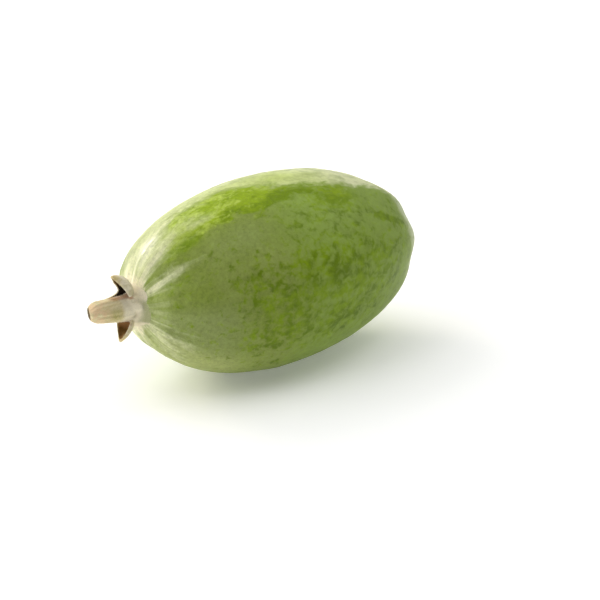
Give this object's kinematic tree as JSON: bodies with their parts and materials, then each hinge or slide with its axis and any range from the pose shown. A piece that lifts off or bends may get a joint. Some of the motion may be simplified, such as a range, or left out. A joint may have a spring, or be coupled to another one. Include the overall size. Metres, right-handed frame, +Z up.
{
  "type": "feijoa",
  "caption": "Whole oblong green feijoa lying on its side, with a cut stalk stub and small bracts at one end and a dried calyx at the other",
  "frame": {"origin": "centre of the small flat spot on the belly that the fruit rests on, under the middle of the fruit", "axes": "+X along the fruit towards the calyx, with the stalk at -X; +Y sideways; +Z up"},
  "size_m": [0.0909, 0.0418, 0.0418],
  "materials": {
    "skin": "matte green skin under a thin grey-green bloom, with brighter green patches where the bloom is rubbed off",
    "stalk": "matte grey-beige, covered with fine felt",
    "calyx": "matte grey-green felt, drying brown at the edges",
    "style": "dry, matte brown"
  },
  "bodies": {
    "root": {"fruit": "skin", "stalk": "stalk", "calyx": "calyx", "style": "style"}
  },
  "joints": []
}
